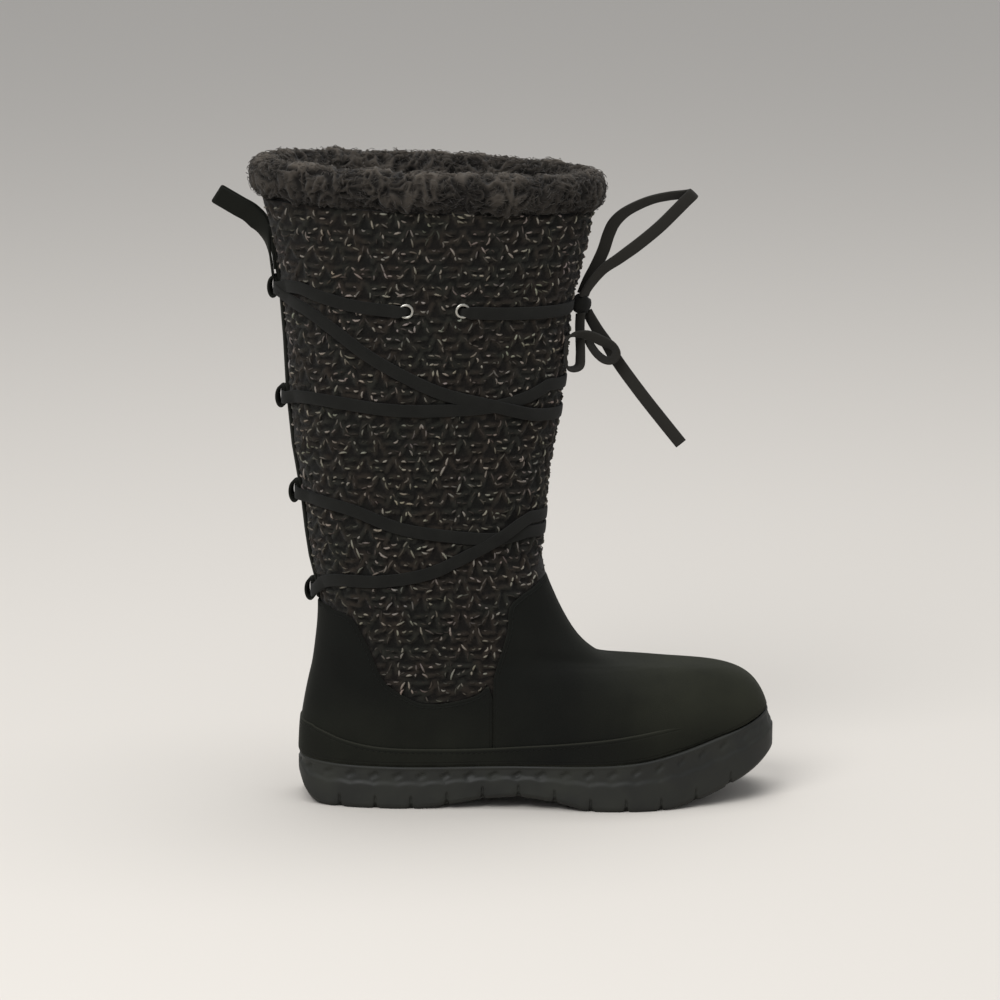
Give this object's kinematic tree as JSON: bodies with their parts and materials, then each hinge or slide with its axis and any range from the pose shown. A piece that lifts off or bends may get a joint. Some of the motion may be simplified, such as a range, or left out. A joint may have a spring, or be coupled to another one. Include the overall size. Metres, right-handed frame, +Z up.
{
  "type": "winter boot",
  "caption": "Tall winter boot with a knitted shaft, pile cuff, suede foot and a lace wound round the leg, open at the collar.",
  "frame": {"origin": "on the floor under the middle of the heel's flat spot", "axes": "+X from heel to toe, +Z up, the outer side of the right boot faces -Y"},
  "size_m": [0.3218, 0.1144, 0.3711],
  "materials": {
    "rubber": "matte moulded",
    "knit": "chunky marled knit",
    "suede": "napped",
    "pile": "curly pile",
    "lace": "napped",
    "metal": "worn nickel",
    "felt": "felted"
  },
  "bodies": {
    "root": {"outsole": "rubber", "insole": "felt", "upper": "knit", "heel_counter": "suede", "vamp": "suede", "rand": "suede", "fur_cuff": "pile", "back_strap": "suede", "pull_loop": "suede", "eyelet_rear_outer": "metal", "eyelet_rear_inner": "metal", "eyelet_front_outer": "metal", "eyelet_front_inner": "metal", "lace_wrap_upper": "lace", "lace_wrap_lower": "lace", "lace_bar_outer": "lace", "lace_bar_inner": "lace", "lace_knot": "lace", "lace_bow_up": "lace", "lace_bow_low": "lace", "lace_end": "lace"}
  },
  "joints": []
}
